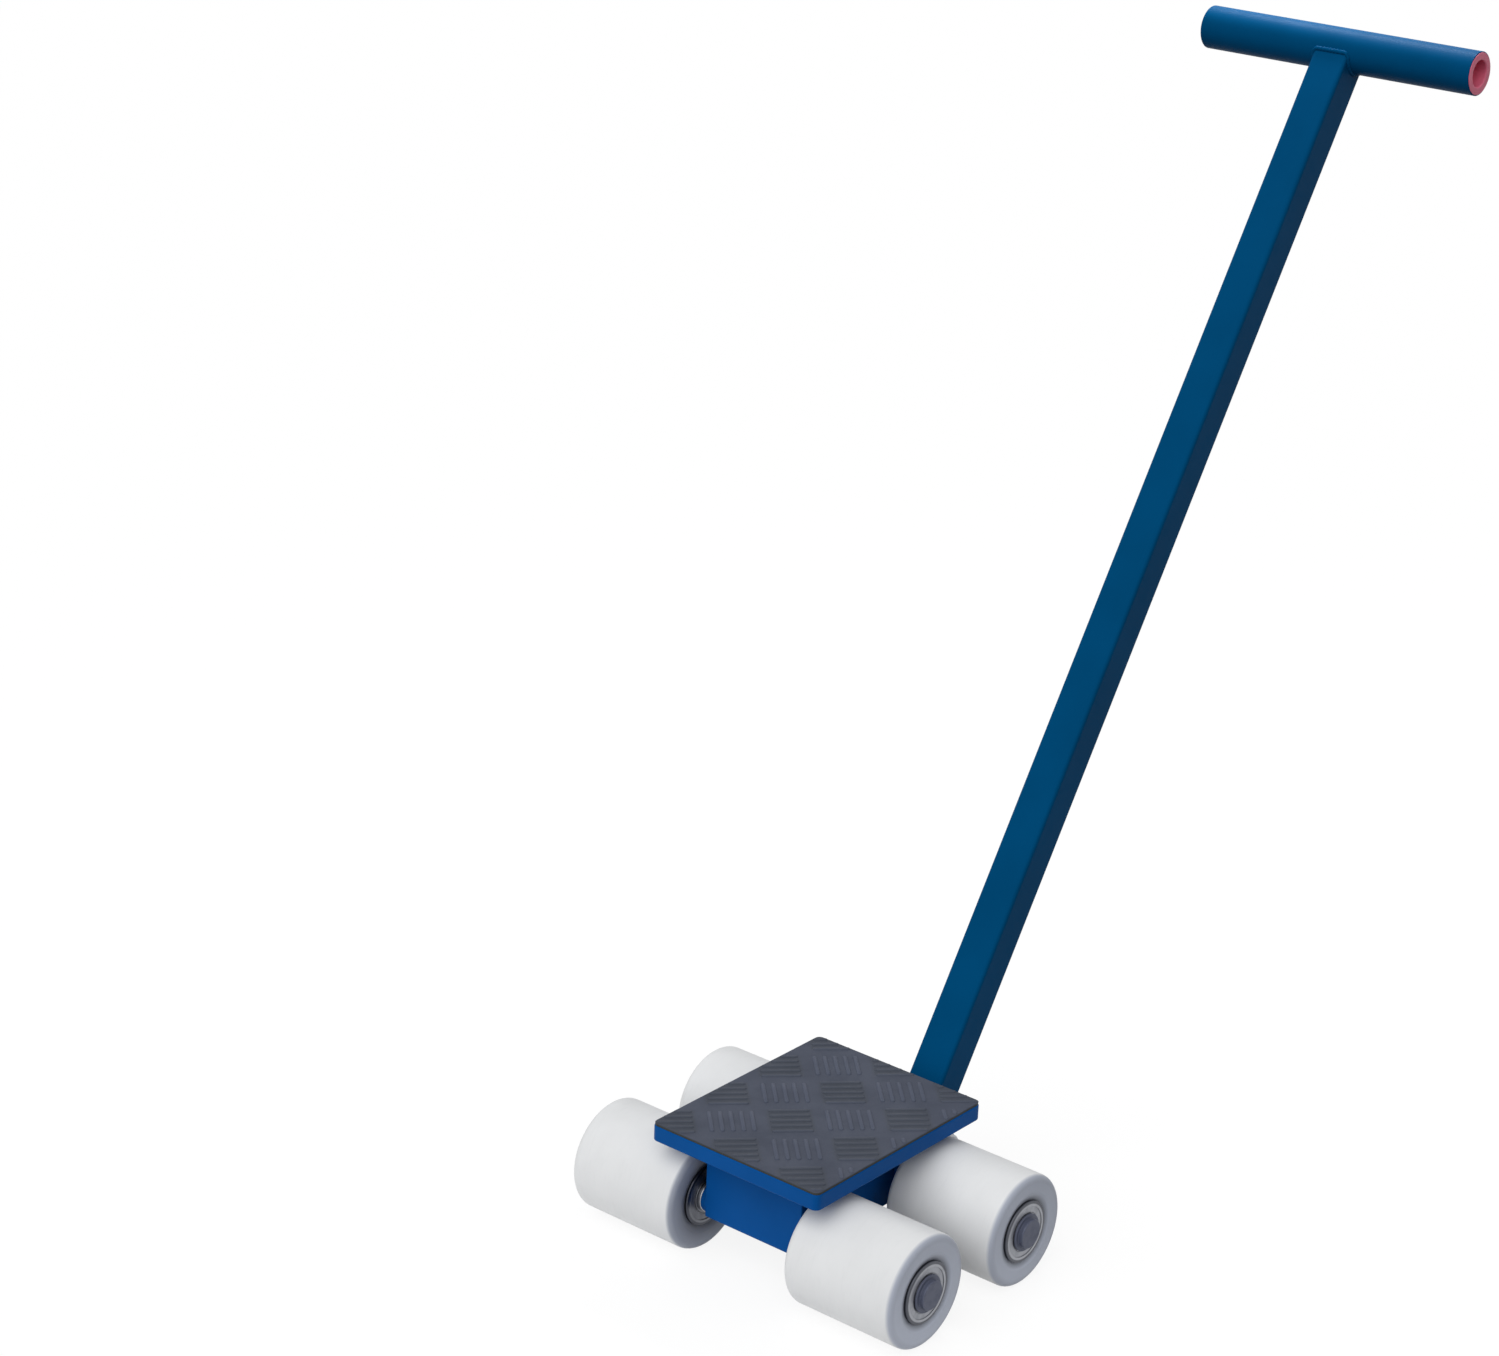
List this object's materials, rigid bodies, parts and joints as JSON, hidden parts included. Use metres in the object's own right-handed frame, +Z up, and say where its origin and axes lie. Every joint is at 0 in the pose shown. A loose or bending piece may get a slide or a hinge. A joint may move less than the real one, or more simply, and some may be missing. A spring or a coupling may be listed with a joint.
{
  "type": "machine skate",
  "caption": "Low roller skate for moving heavy machines, with a turning load plate under a ribbed rubber mat, and a tilting drawbar with a cross handle.",
  "frame": {"origin": "on the floor under the middle of the skate, on the turntable's axis", "axes": "+Z up along the turntable's axis, +X along the axles, +Y rearwards to the drawbar; left is -X and front is -Y"},
  "size_m": [0.304, 0.7123, 0.8162],
  "materials": {
    "blue_paint": "satin cobalt blue paint",
    "drawbar_paint": "satin blue paint, a little greener than the frame",
    "mat_rubber": "matt dark blue-grey rubber",
    "roller_nylon": "smooth white cast nylon",
    "ring_steel": "ground bearing steel",
    "ball_steel": "polished bearing steel",
    "shield_steel": "pressed sheet steel",
    "cage_nylon": "natural nylon",
    "turned_steel": "turned bare steel",
    "dark_steel": "blackened steel",
    "zinc_steel": "zinc plated steel",
    "red_plastic": "glossy red plastic"
  },
  "bodies": {
    "chassis": {"front_beam": "blue_paint", "rear_beam": "blue_paint", "left_side_plate": "blue_paint", "right_side_plate": "blue_paint", "deck_plate": "blue_paint", "axle_bosses": "blue_paint", "left_ear": "blue_paint", "right_ear": "blue_paint", "frame_welds": "blue_paint", "front_axle": "turned_steel", "rear_axle": "turned_steel", "axle_spacers": "turned_steel", "spacer_sleeves": "turned_steel", "inner_rings": "ring_steel", "axle_end_plugs": "dark_steel", "thrust_washer_bottom": "ring_steel", "pivot_pin": "zinc_steel", "pivot_washers": "zinc_steel", "split_pin": "zinc_steel"},
    "turntable": {"load_plate": "blue_paint", "rubber_mat": "mat_rubber", "spigot": "turned_steel", "thrust_washer_top": "ring_steel", "keeper_ring": "turned_steel", "keeper_circlip": "dark_steel"},
    "thrust_race": {"thrust_cage": "cage_nylon", "thrust_balls": "ball_steel"},
    "roller_unit_fl": {"roller_fl": "roller_nylon", "outer_rings_fl": "ring_steel", "shields_fl": "shield_steel"},
    "ball_race_fl": {"cages_fl": "cage_nylon", "balls_fl": "ball_steel"},
    "roller_unit_fr": {"roller_fr": "roller_nylon", "outer_rings_fr": "ring_steel", "shields_fr": "shield_steel"},
    "ball_race_fr": {"cages_fr": "cage_nylon", "balls_fr": "ball_steel"},
    "roller_unit_rl": {"roller_rl": "roller_nylon", "outer_rings_rl": "ring_steel", "shields_rl": "shield_steel"},
    "ball_race_rl": {"cages_rl": "cage_nylon", "balls_rl": "ball_steel"},
    "roller_unit_rr": {"roller_rr": "roller_nylon", "outer_rings_rr": "ring_steel", "shields_rr": "shield_steel"},
    "ball_race_rr": {"cages_rr": "cage_nylon", "balls_rr": "ball_steel"},
    "drawbar": {"handle_tube": "drawbar_paint", "pivot_sleeve": "drawbar_paint", "tee_bar": "drawbar_paint", "drawbar_welds": "drawbar_paint", "left_cap": "red_plastic", "right_cap": "red_plastic"}
  },
  "joints": [
    {"name": "plate_turn", "type": "hinge", "parent": "chassis", "child": "turntable", "pos_m": [0, 0, 0.0855], "axis": [0, 0, 1], "continuous": true},
    {"name": "thrust_race_turn", "type": "hinge", "parent": "chassis", "child": "thrust_race", "pos_m": [0, 0, 0.0855], "axis": [0, 0, 1], "continuous": true},
    {"name": "roller_turn_fl", "type": "hinge", "parent": "chassis", "child": "roller_unit_fl", "pos_m": [-0.0995, -0.058, 0.0425], "axis": [1, 0, 0], "continuous": true},
    {"name": "race_turn_fl", "type": "hinge", "parent": "chassis", "child": "ball_race_fl", "pos_m": [-0.0995, -0.058, 0.0425], "axis": [1, 0, 0], "continuous": true},
    {"name": "roller_turn_fr", "type": "hinge", "parent": "chassis", "child": "roller_unit_fr", "pos_m": [0.0995, -0.058, 0.0425], "axis": [1, 0, 0], "continuous": true},
    {"name": "race_turn_fr", "type": "hinge", "parent": "chassis", "child": "ball_race_fr", "pos_m": [0.0995, -0.058, 0.0425], "axis": [1, 0, 0], "continuous": true},
    {"name": "roller_turn_rl", "type": "hinge", "parent": "chassis", "child": "roller_unit_rl", "pos_m": [-0.0995, 0.058, 0.0425], "axis": [1, 0, 0], "continuous": true},
    {"name": "race_turn_rl", "type": "hinge", "parent": "chassis", "child": "ball_race_rl", "pos_m": [-0.0995, 0.058, 0.0425], "axis": [1, 0, 0], "continuous": true},
    {"name": "roller_turn_rr", "type": "hinge", "parent": "chassis", "child": "roller_unit_rr", "pos_m": [0.0995, 0.058, 0.0425], "axis": [1, 0, 0], "continuous": true},
    {"name": "race_turn_rr", "type": "hinge", "parent": "chassis", "child": "ball_race_rr", "pos_m": [0.0995, 0.058, 0.0425], "axis": [1, 0, 0], "continuous": true},
    {"name": "drawbar_tilt", "type": "hinge", "parent": "chassis", "child": "drawbar", "pos_m": [0, 0.118, 0.042], "axis": [-1, 0, 0], "range_deg": [-12, 59]}
  ],
  "couplings": [
    {"joint": "thrust_race_turn", "follows": "plate_turn", "ratio": 0.5},
    {"joint": "race_turn_fl", "follows": "roller_turn_fl", "ratio": 0.6359},
    {"joint": "race_turn_fr", "follows": "roller_turn_fr", "ratio": 0.6359},
    {"joint": "race_turn_rl", "follows": "roller_turn_rl", "ratio": 0.6359},
    {"joint": "race_turn_rr", "follows": "roller_turn_rr", "ratio": 0.6359}
  ]
}
